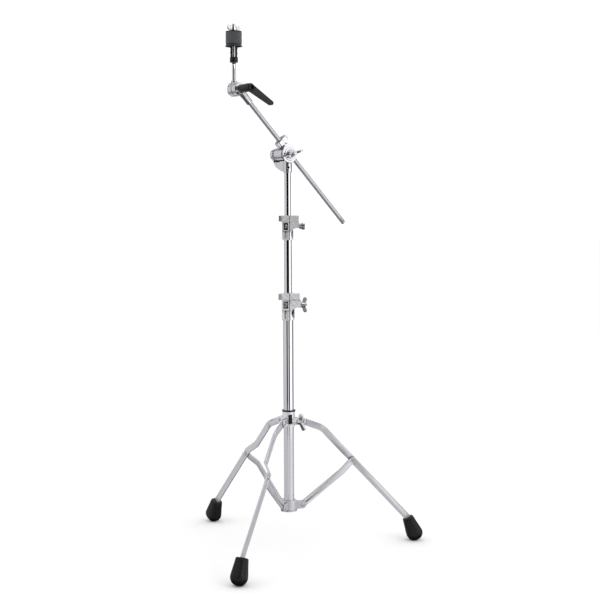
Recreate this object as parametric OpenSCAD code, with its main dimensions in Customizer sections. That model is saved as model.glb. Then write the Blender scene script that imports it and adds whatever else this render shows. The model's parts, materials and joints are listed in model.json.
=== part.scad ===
// Cymbal boom stand: a folding tripod, three telescoping tubes and a tilting boom.
// Frame: the origin is on the floor on the axis of the pole, +Z is up, the clamps
// open towards -Y and the right leg points along +X, a few degrees towards +Y.

/* [Tubes] */
// Outer diameter of the lower tube
lower_od = 25.4; // [25:0.1:25.6]
// Outer diameter of the middle tube
middle_od = 19.05; // [18.8:0.05:19.3]
// Outer diameter of the upper tube
upper_od = 15.9; // [15.6:0.1:16.1]
// Wall thickness of the tubes
tube_wall = 1.2; // [1:0.1:1.3]
// Diameter of the boom arm
boom_od = 11; // [10.8:0.1:11.2]
// Diameter of the plain part of the cymbal rod
rod_od = 9.5; // [9:0.1:9.8]

/* [Heights above the floor] */
// Bottom of the lower tube
lower_tube_bottom = 93; // [92.5:0.5:95]
// Top face of the lower height clamp
lower_clamp_top = 611.5; // [600:0.5:620]
// Top face of the upper height clamp
upper_clamp_top = 800.4; // [790:0.1:810]
// Axis of the boom tilter
tilt_z = 962; // [955:1:970]

/* [Tripod] */
// Direction of the right leg, turned from +X towards +Y
first_azimuth = 7; // [0:1:15]
// Radius at which braces and legs pivot on the bracket and the collar
pivot_r = 33; // [32.5:0.5:34]
// Height of the brace pivots on the bracket
brace_pivot_z = 105; // [104:1:106]
// Height of the leg pivots on the collar
leg_pivot_z = 313; // [311:1:315]
// Radius at which a brace is riveted to its leg
knee_r = 161.5; // [158:0.5:165]
// Radius at which a leg enters its foot
leg_end_r = 299; // [296:1:302]
// Height at which a leg enters its foot
leg_end_z = 60; // [58:1:62]
// Distance from the knee up to the bend of the leg
leg_bend = 117; // [112:1:122]
// Width of the leg strap
strap_w = 16; // [15:0.5:16.5]
// Thickness of the leg strap
leg_t = 4; // [3.6:0.1:4]
// Thickness of the brace strap
brace_t = 3.5; // [3:0.1:3.6]
// Sideways step of a leg at the knee
leg_step = 17; // [16.8:0.1:17.4]
// Length of the rubber foot's round end, as a radius
foot_r = 19.5; // [18:0.5:20]

/* [Boom] */
// Direction of the boom's plane, turned from +X towards +Y
boom_azimuth = 36; // [30:1:42]
// Lean of the boom from the vertical
boom_lean = 44.5; // [35:0.5:55]
// Distance from the tilt axis to the boom's own axis
boom_offset = 12; // [12:0.5:13]
// Length of boom arm above the tilt axis, to the rod tilter
boom_upper = 197.3; // [180:0.1:230]
// Length of boom arm below the tilt axis
boom_lower = 245.2; // [200:0.1:260]

/* [Cymbal seat] */
// Height of the rod's top end above the rod tilter's axis
rod_height = 153; // [150:0.5:160]
// Diameter of the felt washers
felt_od = 38; // [34:0.5:40]
// Thickness of one felt washer
felt_t = 13.7; // [12:0.1:13.8]

/* [Hidden] */
$fn = 64;

// Clearances: a running fit, a joint that never moves, and a cutter's overrun
run = 0.08;
fixed = 0.04;
over = 1;
steel = [0.80, 0.80, 0.82];
cast = [0.74, 0.74, 0.77];
nylon = [0.09, 0.09, 0.10];
rubber = [0.10, 0.10, 0.11];
felt = [0.22, 0.23, 0.25];
black = [0.15, 0.15, 0.16];

// Tripod geometry, in the plane of a leg: radius and height
knee_z = (brace_pivot_z + leg_pivot_z) / 2;
leg_fall = atan2(knee_z - leg_end_z, leg_end_r - knee_r);
leg_length = norm([leg_end_r - knee_r, knee_z - leg_end_z]);
brace_rise = atan2(knee_z - brace_pivot_z, knee_r - pivot_r);
brace_length = norm([knee_r - pivot_r, knee_z - brace_pivot_z]);
bend_r = knee_r - leg_bend * cos(leg_fall);
bend_z = knee_z + leg_bend * sin(leg_fall);
top_fall = atan2(leg_pivot_z - bend_z, bend_r - pivot_r);
top_length = norm([bend_r - pivot_r, leg_pivot_z - bend_z]);
bend_radius = 40;
bend_run = bend_radius * tan((leg_fall - top_fall) / 2);
step_start = 35;
step_end = 12;
leg_hidden = 14;
azimuths = [first_azimuth, first_azimuth + 120, first_azimuth + 240];

rivet_r = 3;
rivet_head_r = 5;
rivet_head_t = 1.5;
strap_gap = 0.15;
ear_t = 2.6;
leg_outer = leg_step + leg_t / 2;
leg_inner = leg_step - leg_t / 2;
brace_step = leg_inner - 0.3 - brace_t / 2;

collar_z0 = leg_pivot_z - 9;
collar_z1 = leg_pivot_z + 25;
// A lock ring's tongue: the wall left between its notch and the bore, and its end play
notch_wall = 2;
notch_gap = 0.3;
collar_r = 15.6;
collar_rim_r = 16.1;
flange_r = 16.5;
collar_bore_r = lower_od / 2 + 1.6;
wing_bolt_azimuth = -40;

ring_gap = 0.1;
lower_ring_h = 16;
upper_ring_h = 14.5;
lower_bolt_y = 19.5;
upper_bolt_y = 16;
bolt_drop = 11;
slit_x = 3;
slit_w = 1.5;

// The boom's end, in the tilter's plane: along the boom's plane, and up
end_h = boom_offset * cos(boom_lean) - boom_upper * sin(boom_lean);
end_v = boom_offset * sin(boom_lean) + boom_upper * cos(boom_lean);
boom_a = -12;
rod_a = -33;
holder_w = 20;
sleeve_start = boom_upper - 43;
m8_r = 4;
knurl_r = boom_od / 2 - 0.05;
knurl_end = 125;
plain_end = 26;

// Heights in the cymbal seat, above the rod tilter's axis
thread_start = rod_height - 90;
seat_nut_h = 40;
cup_top = thread_start + seat_nut_h + 2.6;
felt_gap = 0.1;
washer_bottom = cup_top + 2 * felt_t + 3 * felt_gap;
washer_t = 1.8;
top_nut_bottom = washer_bottom + washer_t + felt_gap;

// ---------- frames ----------

// A leg's plane: X is outward, Y is sideways, Z is up
module leg_plane(azimuth) {
    rotate([0, 0, azimuth]) children();
}

// In a leg's plane, a point at radius r and height z, with X falling by an angle
module at_leg(r, z, fall = 0) {
    translate([r, 0, z]) rotate([0, fall, 0]) children();
}

// The tilter: Z is the tilt axis towards the wing nut, X along the boom's plane, Y up
module tilt_axis() {
    translate([0, 0, tilt_z]) rotate([0, 0, boom_azimuth]) rotate([90, 0, 0]) children();
}

// The boom arm: Z is the arm's axis towards the cymbal, with 0 beside the tilt axis
module boom_axis() {
    tilt_axis() rotate([0, 0, boom_lean]) translate([boom_offset, 0, boom_a])
        rotate([-90, 0, 0]) children();
}

// The rod tilter: as the tilter, with its centre at the boom arm's end
module rod_tilt_axis() {
    tilt_axis() translate([end_h, end_v, 0]) children();
}

// The cymbal rod: Z is up the rod, with 0 at the rod tilter's axis
module rod_axis() {
    rod_tilt_axis() translate([0, 0, rod_a]) rotate([-90, 0, 0]) children();
}

// ---------- shared shapes ----------

module ring(outer_r, inner_r, h) {
    difference() {
        cylinder(h = h, r = outer_r);
        translate([0, 0, -over]) cylinder(h = h + 2 * over, r = inner_r);
    }
}

// A bar along X with its ends at x0 and x1
module x_rod(x0, x1, r) {
    translate([x0, 0, 0]) rotate([0, 90, 0]) cylinder(h = x1 - x0, r = r);
}

// One wing of a nut, in the XZ plane: it climbs from the hub to a round tip
module wing(reach, height, tip_r, t, hub_h) {
    tip_x = reach - tip_r;
    tip_z = height - tip_r;
    rotate([90, 0, 0]) translate([0, 0, -t / 2]) {
        linear_extrude(height = t)
            polygon([[0, 0.6], [tip_x + 0.3 * tip_r, tip_z - 0.95 * tip_r],
                [tip_x - 0.2 * tip_r, tip_z + 0.97 * tip_r], [0, hub_h - 0.6]]);
        translate([tip_x, tip_z, 0]) cylinder(h = t, r = tip_r);
    }
}

// A wing nut on +Z with a through bore
module wing_nut(hub_r, hub_h, reach, height, tip_r, t, bore_r) {
    difference() {
        union() {
            cylinder(h = 3, r = hub_r);
            translate([0, 0, 2.9]) cylinder(h = hub_h - 2.9, r1 = hub_r, r2 = hub_r * 0.78);
            for (turn = [0, 180]) rotate([0, 0, turn]) wing(reach, height, tip_r, t, hub_h);
        }
        translate([0, 0, -over]) cylinder(h = height + 2 * over, r = bore_r);
    }
}

// A square-headed lock screw on +Z: the head has hollow sides, to take a drum key
module key_screw(length, r, head_w, head_t) {
    waist_r = head_w * 0.55;
    difference() {
        union() {
            translate([-head_w / 2, -head_w / 2, -head_t]) cube([head_w, head_w, head_t]);
            translate([0, 0, -0.5]) cylinder(h = length + 0.5, r = r);
        }
        for (side = [-1, 1]) translate([side * head_w * 0.92, 0, -head_t - over])
            cylinder(h = head_t + over - 0.8, r = waist_r);
    }
}

// ---------- tubes ----------

module lower_tube() {
    color(steel) translate([0, 0, lower_tube_bottom])
        ring(lower_od / 2, lower_od / 2 - tube_wall, lower_clamp_top - 36.5 - lower_tube_bottom);
}

module middle_tube() {
    bottom = lower_clamp_top - 291.5;
    color(steel) translate([0, 0, bottom])
        ring(middle_od / 2, middle_od / 2 - tube_wall, upper_clamp_top - 30.4 - bottom);
}

module upper_tube() {
    bottom = upper_clamp_top - 320;
    color(steel) translate([0, 0, bottom])
        ring(upper_od / 2, upper_od / 2 - tube_wall, tilt_z - tube_drop - bottom);
}

// ---------- bottom bracket ----------

// Two ears in a leg's plane, either side of a strap, round at their outer ends
module ears(strap_t, z0, z1, pivot_z, inner_r, outer_round) {
    inside = strap_t / 2 + strap_gap;
    for (side = [-1, 1]) translate([0, side * (inside + ear_t / 2), 0]) {
        translate([inner_r, -ear_t / 2, z0]) cube([pivot_r - inner_r, ear_t, z1 - z0]);
        translate([pivot_r, 0, pivot_z]) rotate([90, 0, 0])
            cylinder(h = ear_t, r = outer_round, center = true);
    }
}

// The bore that one rivet takes through a pair of ears
module rivet_bore(pivot_z) {
    translate([pivot_r, 0, pivot_z]) rotate([90, 0, 0])
        cylinder(h = 30, r = rivet_r + fixed, center = true);
}

// A rivet across a pair of ears: a shank with two domed heads
module ear_rivet(strap_t, pivot_z) {
    half = strap_t / 2 + strap_gap + ear_t + 0.05;
    translate([pivot_r, 0, pivot_z]) rotate([90, 0, 0]) {
        cylinder(h = 2 * half + 0.4, r = rivet_r, center = true);
        for (turn = [0, 180]) rotate([turn, 0, 0]) translate([0, 0, half])
            cylinder(h = rivet_head_t, r1 = rivet_head_r, r2 = rivet_head_r * 0.7);
    }
}

module base_bracket() {
    z0 = brace_pivot_z - 14;
    z1 = brace_pivot_z + 13;
    color(cast) difference() {
        union() {
            translate([0, 0, z0]) cylinder(h = z1 - z0, r = 18);
            translate([0, 0, z0]) cylinder(h = 2.5, r = 20);
            for (azimuth = azimuths) leg_plane(azimuth)
                ears(brace_t, brace_pivot_z - 9.5, brace_pivot_z + 9.5, brace_pivot_z, 14, 9.5);
        }
        translate([0, 0, lower_tube_bottom - fixed])
            cylinder(h = z1 - z0, r = lower_od / 2 + fixed);
        translate([0, 0, z0 - over]) cylinder(h = 10, r = 9);
        for (azimuth = azimuths) leg_plane(azimuth) rivet_bore(brace_pivot_z);
    }
}

module bracket_rivets() {
    color(steel) for (azimuth = azimuths) leg_plane(azimuth)
        ear_rivet(brace_t, brace_pivot_z);
}

// ---------- braces, legs and feet ----------

// The side outline of a stepped strap: X along the strap, Y sideways. Past x1 it
// steps from 0 to the given offset, and both faces keep the same thickness.
module stepped_strap(x0, x1, x2, x3, offset, t) {
    mitre = t / 2 * tan(atan2(offset, x2 - x1) / 2);
    linear_extrude(height = strap_w, center = true)
        polygon([[x0, -t / 2], [x1 + mitre, -t / 2], [x2 + mitre, offset - t / 2],
            [x3, offset - t / 2], [x3, offset + t / 2], [x2 - mitre, offset + t / 2],
            [x1 - mitre, t / 2], [x0, t / 2]]);
}

module strap_end(x, y, t) {
    translate([x, y, 0]) rotate([90, 0, 0]) cylinder(h = t, r = strap_w / 2, center = true);
}

module strap_hole(x, r) {
    translate([x, 0, 0]) rotate([90, 0, 0]) cylinder(h = 60, r = r, center = true);
}

module brace(azimuth) {
    color(cast) leg_plane(azimuth) at_leg(pivot_r, brace_pivot_z, -brace_rise) difference() {
        union() {
            stepped_strap(0, brace_length - 37, brace_length - step_end, brace_length,
                brace_step, brace_t);
            strap_end(0, 0, brace_t);
            strap_end(brace_length, brace_step, brace_t);
        }
        strap_hole(0, rivet_r + run);
        strap_hole(brace_length, rivet_r + run);
    }
}

// The leg: from its pivot out to the bend, round the bend, then straight to the foot,
// stepping sideways just above the knee so that it passes beside the brace.
module leg(azimuth) {
    arc_r = bend_r - bend_run * cos(top_fall) - bend_radius * sin(top_fall);
    arc_z = bend_z + bend_run * sin(top_fall) - bend_radius * cos(top_fall);
    join = 0.2;
    color(cast) leg_plane(azimuth) difference() {
        union() {
            at_leg(pivot_r, leg_pivot_z, top_fall) {
                strap_end(0, 0, leg_t);
                translate([0, -leg_t / 2, -strap_w / 2])
                    cube([top_length - bend_run + join, leg_t, strap_w]);
            }
            translate([arc_r, 0, arc_z]) rotate([90, 0, 0]) rotate([0, 0, 90 - leg_fall])
                rotate_extrude(angle = leg_fall - top_fall)
                translate([bend_radius - strap_w / 2, -leg_t / 2]) square([strap_w, leg_t]);
            at_leg(knee_r, knee_z, leg_fall)
                stepped_strap(bend_run - leg_bend - join, -step_start, -step_end,
                    leg_length + leg_hidden, leg_step, leg_t);
        }
        at_leg(pivot_r, leg_pivot_z, 0) strap_hole(0, rivet_r + run);
        at_leg(knee_r, knee_z, 0) strap_hole(0, rivet_r + fixed);
    }
}

// The knee rivet holds a leg against the side of its brace
module knee_rivet(azimuth) {
    brace_face = brace_step - brace_t / 2;
    color(steel) leg_plane(azimuth) translate([knee_r, 0, knee_z]) rotate([-90, 0, 0]) {
        translate([0, 0, brace_face - 0.5]) cylinder(h = leg_outer - brace_face + 1, r = rivet_r);
        translate([0, 0, leg_outer + 0.05])
            cylinder(h = rivet_head_t, r1 = rivet_head_r, r2 = rivet_head_r * 0.7);
        translate([0, 0, brace_face - 0.1 - rivet_head_t])
            cylinder(h = rivet_head_t, r1 = rivet_head_r * 0.7, r2 = rivet_head_r);
    }
}

// Points on an arc, in degrees
function arc(centre, r, from, to, steps) =
    [for (i = [0:steps]) centre + r * [cos(from + (to - from) * i / steps),
        sin(from + (to - from) * i / steps)]];

// A rubber foot: a round end of radius foot_r that narrows to its collar, cut flat
// where it rests, with a slot that the leg is pushed into
module foot(azimuth) {
    tread_r = leg_end_r + 14.5;
    tread_z = foot_r - 1;
    collar_r1 = foot_r - 6;
    lean = atan2(tread_r - leg_end_r + 2, leg_end_z - 1 - tread_z);
    height = norm([tread_r - leg_end_r + 2, leg_end_z - 1 - tread_z]);
    color(rubber) leg_plane(azimuth) translate([0, leg_step, 0]) difference() {
        translate([tread_r, 0, tread_z]) rotate([0, -lean, 0]) rotate_extrude()
            polygon(concat([[0, -foot_r]], arc([0, 0], foot_r, -80, 8, 11),
                arc([collar_r1 - 4, height - 4], 4, 8, 90, 5), [[0, height]]));
        translate([tread_r - 60, -60, -60]) cube([120, 120, 60]);
        at_leg(knee_r, knee_z, leg_fall)
            translate([leg_length - 20, -leg_t / 2 - fixed, -strap_w / 2 - fixed])
            cube([20 + leg_hidden + 0.3, leg_t + 2 * fixed, strap_w + 2 * fixed]);
    }
}

module brace_right() { brace(azimuths[0]); }
module brace_left() { brace(azimuths[1]); }
module brace_front() { brace(azimuths[2]); }
module leg_right() { leg(azimuths[0]); }
module leg_left() { leg(azimuths[1]); }
module leg_front() { leg(azimuths[2]); }
module knee_rivet_right() { knee_rivet(azimuths[0]); }
module knee_rivet_left() { knee_rivet(azimuths[1]); }
module knee_rivet_front() { knee_rivet(azimuths[2]); }
module foot_right() { foot(azimuths[0]); }
module foot_left() { foot(azimuths[1]); }
module foot_front() { foot(azimuths[2]); }

// ---------- sliding leg collar ----------

module leg_collar() {
    color(cast) difference() {
        union() {
            translate([0, 0, collar_z0]) cylinder(h = collar_z1 - collar_z0, r = collar_r);
            translate([0, 0, collar_z0 - 3]) cylinder(h = 3.5, r = collar_rim_r);
            for (azimuth = azimuths) leg_plane(azimuth)
                ears(leg_t, leg_pivot_z - 9, leg_pivot_z + 9, leg_pivot_z, 13, 9);
            rotate([0, 0, wing_bolt_azimuth]) translate([0, 0, leg_pivot_z + 2])
                x_rod(14, 30, 6.5);
        }
        translate([0, 0, collar_z0 - 5]) cylinder(h = 60, r = collar_bore_r + fixed);
        // The front of the collar is open, and shows the bushing
        translate([-1, -30, collar_z0 + 4]) cube([9, 30, 23]);
        rotate([0, 0, wing_bolt_azimuth]) translate([0, 0, leg_pivot_z + 2])
            x_rod(10, 40, m8_r + run);
        for (azimuth = azimuths) leg_plane(azimuth) rivet_bore(leg_pivot_z);
    }
}

module collar_bushing() {
    color(nylon) difference() {
        union() {
            translate([0, 0, collar_z0 - 3])
                cylinder(h = collar_z1 - collar_z0 + 3.5, r = collar_bore_r);
            translate([0, 0, collar_z1 + 0.1]) cylinder(h = 3, r = flange_r);
        }
        translate([0, 0, collar_z0 - 5]) cylinder(h = 60, r = lower_od / 2 + run);
        rotate([0, 0, wing_bolt_azimuth]) translate([0, 0, leg_pivot_z + 2])
            x_rod(10, 40, m8_r + 0.3);
    }
}

module collar_rivets() {
    color(steel) for (azimuth = azimuths) leg_plane(azimuth) ear_rivet(leg_t, leg_pivot_z);
}

// The wing bolt that clamps the collar: its tip bears on the lower tube
module collar_wing_bolt() {
    color(cast) rotate([0, 0, wing_bolt_azimuth]) translate([0, 0, leg_pivot_z + 2])
        rotate([0, 90, 0]) rotate([0, 0, 15]) {
            translate([0, 0, lower_od / 2 + 0.2]) cylinder(h = 24, r = m8_r);
            translate([0, 0, 32]) wing_nut(7, 11, 22, 16, 5.2, 5, 0.5);
            translate([0, 0, 32]) cylinder(h = 9, r = 5);
            translate([0, 0, 30.4]) cylinder(h = 2, r = m8_r + 1);
        }
}

// ---------- height clamps and lock rings ----------

// The plan of a clamp or lock ring around a tube: a barrel with a block across its
// front, slit beside the middle so that a screw through the block can close it
module clamp_plan(barrel_r, left, right, front, h) {
    cylinder(h = h, r = barrel_r);
    translate([-left, -front, 0]) cube([left + right, front - 1, h]);
}

// A cast height clamp, hung below z = 0
module clamp_casting(barrel_r, bore_r, h, left, right, front, bolt_y, ear_h) {
    arch_r = 15;
    difference() {
        union() {
            translate([0, 0, -h]) cylinder(h = h, r = barrel_r);
            translate([0, 0, -ear_h]) clamp_plan(barrel_r, left, right, front, ear_h);
            translate([-left, -front + 3, -h + 4]) cube([6, front - 5, h - 6]);
        }
        translate([0, 0, -h - over]) cylinder(h = h + 2 * over, r = bore_r);
        // The slit
        translate([slit_x, -front - over, -h - over]) cube([slit_w, front, h + 2 * over]);
        // The pocket in the left ear, round the head of the bolt
        translate([-left + 3.5, -front - over, -20.5])
            cube([left - 3.5 + slit_x - 2.5, front - bore_r - 1.4 + over, 18]);
        translate([0, -bolt_y, -bolt_drop]) x_rod(-left + 5, right + over, 3 + fixed);
        // The arch below the right ear
        translate([slit_x + slit_w + 3.5 + arch_r, 0, -ear_h - arch_r * 0.55]) rotate([90, 0, 0])
            cylinder(h = front + over, r = arch_r);
        // The notch that the lock ring's tongue drops into
        translate([slit_x + slit_w / 2, -front - over, 0]) rotate([-90, 0, 0])
            linear_extrude(height = front + over - bore_r - notch_wall)
            polygon([[-5.2, -over], [-5.2, 0.1], [0, 3.2], [5.2, 0.1], [5.2, -over]]);
    }
}

// A lock ring standing on z = 0. The tongue below it drops into the clamp's notch, and
// stops short of the wall round the clamp's own bore.
module lock_ring(barrel_r, bore_r, clamp_bore_r, h, left, right, front, bolt_y) {
    difference() {
        union() {
            clamp_plan(barrel_r, left, right, front, h);
            translate([slit_x + slit_w / 2, -front, 0]) rotate([-90, 0, 0])
                linear_extrude(height = front - clamp_bore_r - notch_wall - notch_gap)
                polygon([[-5, -over], [-5, 0], [0, 3], [5, 0], [5, -over]]);
        }
        translate([0, 0, -5]) cylinder(h = h + 10, r = bore_r);
        translate([slit_x, -front - over, -5]) cube([slit_w, front, h + 10]);
        translate([0, -bolt_y, h / 2]) x_rod(-left - over, right - 5, 3 + fixed);
    }
}

// A clamp bolt: its head sits in the pocket, and its thread takes the wing nut
module clamp_bolt(bolt_y, head_x, end_x) {
    translate([0, -bolt_y, -bolt_drop]) {
        x_rod(head_x, head_x + 4, 4.6);
        x_rod(head_x + 3.5, end_x, 3);
    }
}

module lower_clamp() {
    color(cast) translate([0, 0, lower_clamp_top])
        clamp_casting(15.5, lower_od / 2 + fixed, 50, 15, 31, 25, lower_bolt_y, 24.5);
}

module lower_clamp_bushing() {
    color(nylon) translate([0, 0, lower_clamp_top - 36.4])
        ring(lower_od / 2, middle_od / 2 + run, 36.3);
}

module lower_clamp_bolt() {
    color(steel) translate([0, 0, lower_clamp_top]) clamp_bolt(lower_bolt_y, -6, 45);
}

module lower_wing_nut() {
    color(cast) translate([31.2, -lower_bolt_y, lower_clamp_top - bolt_drop])
        rotate([0, 90, 0]) rotate([0, 0, 12]) wing_nut(7, 10, 19, 14.5, 5, 4.5, 3 + run);
}

module lower_lock_ring() {
    color(cast) translate([0, 0, lower_clamp_top + ring_gap])
        lock_ring(14.5, middle_od / 2 + fixed, lower_od / 2 + fixed, lower_ring_h,
            17.5, 28.5, 24, lower_bolt_y);
}

module lower_lock_screw() {
    color(steel) translate([-17.6, -lower_bolt_y, lower_clamp_top + ring_gap + lower_ring_h / 2])
        rotate([0, 90, 0]) key_screw(36, 3, 14, 5.5);
}

module upper_clamp() {
    color(cast) translate([0, 0, upper_clamp_top])
        clamp_casting(13, middle_od / 2 + fixed, 44.6, 14, 27.3, 21.5, upper_bolt_y, 22);
}

module upper_clamp_bushing() {
    color(nylon) translate([0, 0, upper_clamp_top - 30.3])
        ring(middle_od / 2, upper_od / 2 + run, 30.2);
}

module upper_clamp_bolt() {
    color(steel) translate([0, 0, upper_clamp_top]) clamp_bolt(upper_bolt_y, -6, 41);
}

module upper_wing_nut() {
    color(cast) translate([27.5, -upper_bolt_y, upper_clamp_top - bolt_drop])
        rotate([0, 90, 0]) rotate([0, 0, 68]) wing_nut(6.5, 10, 18, 14, 4.6, 4.5, 3 + run);
}

module upper_lock_ring() {
    color(cast) translate([0, 0, upper_clamp_top + ring_gap])
        lock_ring(12.5, upper_od / 2 + run, middle_od / 2 + fixed, upper_ring_h,
            16.5, 27, 21, upper_bolt_y);
}

module upper_lock_screw() {
    color(steel) translate([-16.6, -upper_bolt_y, upper_clamp_top + ring_gap + upper_ring_h / 2])
        rotate([0, 90, 0]) key_screw(34, 3, 14, 5);
}

// ---------- boom tilter ----------

barrel_r = 17;
rear_ear = [-55, -45];
front_ear = [-1.5, 6];
socket_drop = 44;
tube_drop = 22;
screw_drop = 32;

// The fork on top of the pole: a socket over the upper tube, a bridge under the boom
// clamp, a rear ear that leans back from the socket and a front ear above it
module tilter_base() {
    drop = socket_drop;
    color(cast) difference() {
        union() {
            translate([0, 0, tilt_z - drop]) cylinder(h = drop - tube_drop + 0.3, r = 10.5);
            tilt_axis() {
                translate([0, 0, rear_ear[0]])
                    cylinder(h = rear_ear[1] - rear_ear[0], r = 14);
                translate([0, 0, front_ear[0]])
                    cylinder(h = front_ear[1] - front_ear[0], r = 15);
                // Webs: outlines seen from the side, with X towards the front ear and Y up
                rotate([0, -90, 0]) translate([0, 0, -9]) linear_extrude(height = 18)
                    polygon([[rear_ear[0], 2], [rear_ear[0], -9], [-38, -30], [-14, -drop + 3],
                        [0, -drop + 3], [0, -18.5], [rear_ear[1], -18.5], [rear_ear[1], 2]]);
                translate([-9, -30, front_ear[0]]) cube([18, 28, front_ear[1] - front_ear[0]]);
            }
        }
        translate([0, 0, tilt_z - drop - over])
            cylinder(h = drop - tube_drop + 0.1 + over, r = upper_od / 2 + fixed);
        // Room for the boom clamp to turn, and for the bolt
        tilt_axis() {
            translate([0, 0, rear_ear[1]])
                cylinder(h = front_ear[0] - rear_ear[1], r = barrel_r + 0.8);
            translate([0, 0, rear_ear[0] - over])
                cylinder(h = front_ear[1] - rear_ear[0] + 2 * over, r = m8_r + fixed);
        }
        // The set screw's hole, in the front of the socket
        translate([0, 0, tilt_z - screw_drop]) rotate([90, 0, 12])
            cylinder(h = 12, r = 2.5 + fixed);
    }
}

module tilter_base_screw() {
    color(black) translate([0, 0, tilt_z - screw_drop]) rotate([90, 0, 12])
        translate([0, 0, upper_od / 2 + 0.1]) difference() {
            cylinder(h = 2.2, r = 2.5);
            translate([0, 0, 1]) cylinder(h = 2, r = 1.3, $fn = 6);
        }
}

module tilter_bolt() {
    color(steel) tilt_axis() {
        translate([0, 0, rear_ear[0] - 7]) cylinder(h = 6.9, r = 8, $fn = 6);
        translate([0, 0, rear_ear[0] - 2]) cylinder(h = 92, r = m8_r);
    }
}

// The stepped pressure disc between the front ear and the wing nut
module tilter_front_disc() {
    color(cast) tilt_axis() translate([0, 0, front_ear[1] + 0.1]) difference() {
        union() {
            cylinder(h = 4, r = 20.6);
            translate([0, 0, 3.9]) cylinder(h = 1.8, r = 15);
            translate([0, 0, 5.6]) cylinder(h = 1.3, r = 10.5);
        }
        translate([0, 0, -over]) cylinder(h = 12, r = m8_r + fixed);
    }
}

module tilter_wing_nut() {
    color(cast) tilt_axis() translate([0, 0, front_ear[1] + 7.3]) rotate([0, 0, 22])
        wing_nut(8.5, 13, 24, 22, 6, 5, m8_r + run);
}

// The clamp that turns on the tilt bolt and carries the boom arm
module boom_clamp() {
    color(cast) difference() {
        union() {
            tilt_axis() {
                translate([0, 0, -44]) cylinder(h = 42, r = 12.5);
                translate([0, 0, -30]) cylinder(h = 27.5, r = barrel_r);
                for (tooth = [0:17]) rotate([0, 0, tooth * 20]) translate([11.5, -1, -43.8])
                    cube([4.5, 2, 10]);
                translate([0, 0, -36]) cylinder(h = 5, r = 16.2);
            }
            boom_axis() {
                translate([0, 0, -20]) cylinder(h = 41.8, r = 9.4);
                translate([-8, -9.4, -16]) cube([17.5, 18.8, 34]);
            }
        }
        tilt_axis() translate([0, 0, -60]) cylinder(h = 80, r = m8_r + run);
        boom_axis() {
            translate([0, 0, -60]) cylinder(h = 120, r = knurl_r + run);
            // The slit that lets the clamp close on the arm
            translate([boom_od / 2 - 1, -0.8, -40]) cube([20, 1.6, 80]);
        }
    }
}

// The lock ring that keeps the arm's setting, with its key screw
lock_start = 22;
lock_h = 12.5;

module boom_lock_ring() {
    color(cast) boom_axis() translate([0, 0, lock_start]) difference() {
        union() {
            cylinder(h = lock_h, r = 10);
            translate([-9, -9.5, 0]) cube([24, 19, lock_h]);
            translate([-13, -7, 0]) cube([8, 14, lock_h]);
        }
        translate([0, 0, -over]) cylinder(h = lock_h + 2 * over, r = knurl_r + run);
        translate([0, 0, lock_h / 2]) x_rod(boom_od / 2 - 1, 20, 2.5 + fixed);
    }
}

module boom_lock_screw() {
    color(steel) boom_axis() translate([15.1, 0, lock_start + lock_h / 2])
        rotate([0, -90, 0]) key_screw(9.2, 2.5, 11, 6.5);
}

// ---------- boom arm ----------

// The arm is a tube whose knurled middle is a touch thinner than its plain ends
module boom_arm() {
    color(steel) boom_axis() difference() {
        union() {
            translate([0, 0, 4 - boom_lower]) cylinder(h = plain_end, r = boom_od / 2);
            translate([0, 0, 3.9 - boom_lower + plain_end])
                cylinder(h = knurl_end - 3.8 + boom_lower - plain_end, r = knurl_r);
            translate([0, 0, knurl_end]) cylinder(h = boom_upper - 15 - knurl_end, r = boom_od / 2);
        }
        translate([0, 0, -boom_lower]) cylinder(h = 500, r = boom_od / 2 - 1.8);
    }
}

// The plug in the arm's lower end
module boom_end_plug() {
    color(steel) boom_axis() translate([0, 0, -boom_lower]) {
        cylinder(h = 1.2, r1 = boom_od / 2 - 1.2, r2 = boom_od / 2);
        translate([0, 0, 1.1]) cylinder(h = 2.8, r = boom_od / 2);
        translate([0, 0, 3.8]) cylinder(h = 10, r = boom_od / 2 - 1.8 - fixed);
    }
}

// The holder on the arm's upper end: a sleeve and a disc that faces the rod holder
module boom_end_holder() {
    color(cast) difference() {
        union() {
            boom_axis() translate([0, 0, sleeve_start]) cylinder(h = boom_upper - sleeve_start, r = 8.25);
            boom_axis() translate([0, 0, sleeve_start + 19]) cylinder(h = 14, r1 = 8.3, r2 = 10);
            rod_tilt_axis() {
                translate([0, 0, boom_a - holder_w / 2]) cylinder(h = holder_w - 5, r = 15.5);
                translate([0, 0, boom_a + holder_w / 2 - 5.1]) cylinder(h = 5.1, r1 = 15.5, r2 = 11.5);
            }
        }
        boom_axis() translate([0, 0, sleeve_start - over])
            cylinder(h = boom_upper - 14.8 - sleeve_start + over, r = boom_od / 2 + fixed);
        rod_tilt_axis() translate([0, 0, -40]) cylinder(h = 60, r = m8_r + fixed);
        boom_axis() for (z = [8, 17]) translate([0, 0, sleeve_start + z]) rotate([0, 0, 55])
            x_rod(boom_od / 2 - 1, 12, 1.75 + fixed);
    }
}

module holder_screws() {
    color(black) boom_axis() for (z = [8, 17])
        translate([0, 0, sleeve_start + z]) rotate([0, 0, 55]) x_rod(boom_od / 2 + 0.1, 7.9, 1.75);
}

module rod_tilter_bolt() {
    color(steel) rod_tilt_axis() {
        translate([0, 0, rod_a - holder_w / 2 - 5.6]) cylinder(h = 5.5, r = 7.5, $fn = 6);
        translate([0, 0, rod_a - holder_w / 2 - 1]) cylinder(h = 55, r = m8_r);
    }
}

// ---------- cymbal rod and seat ----------

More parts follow.
